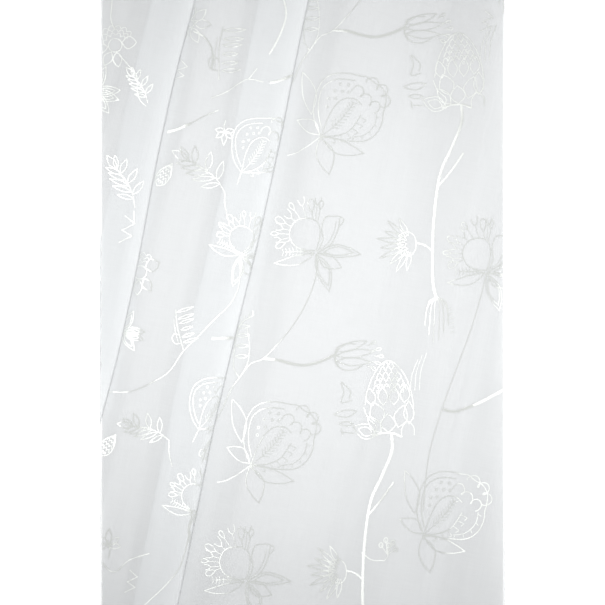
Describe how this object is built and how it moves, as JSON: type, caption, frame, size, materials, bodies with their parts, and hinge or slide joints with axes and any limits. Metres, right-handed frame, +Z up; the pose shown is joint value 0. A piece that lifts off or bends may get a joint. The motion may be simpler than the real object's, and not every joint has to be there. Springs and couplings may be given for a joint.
{
  "type": "embroidered voile curtain cloth",
  "caption": "Cut length of sheer white voile with tone on tone floral embroidery, lying flat in soft slanting folds.",
  "frame": {"origin": "centre of the bounding box at its bottom, where the cloth touches the surface", "axes": "+X across the cut piece, +Y up its length, +Z up out of the cloth's right side"},
  "size_m": [0.54, 0.84, 0.0181],
  "materials": {
    "voile": "sheer plain weave, soft and matt"
  },
  "bodies": {
    "root": {"voile_length": "voile"}
  },
  "joints": []
}
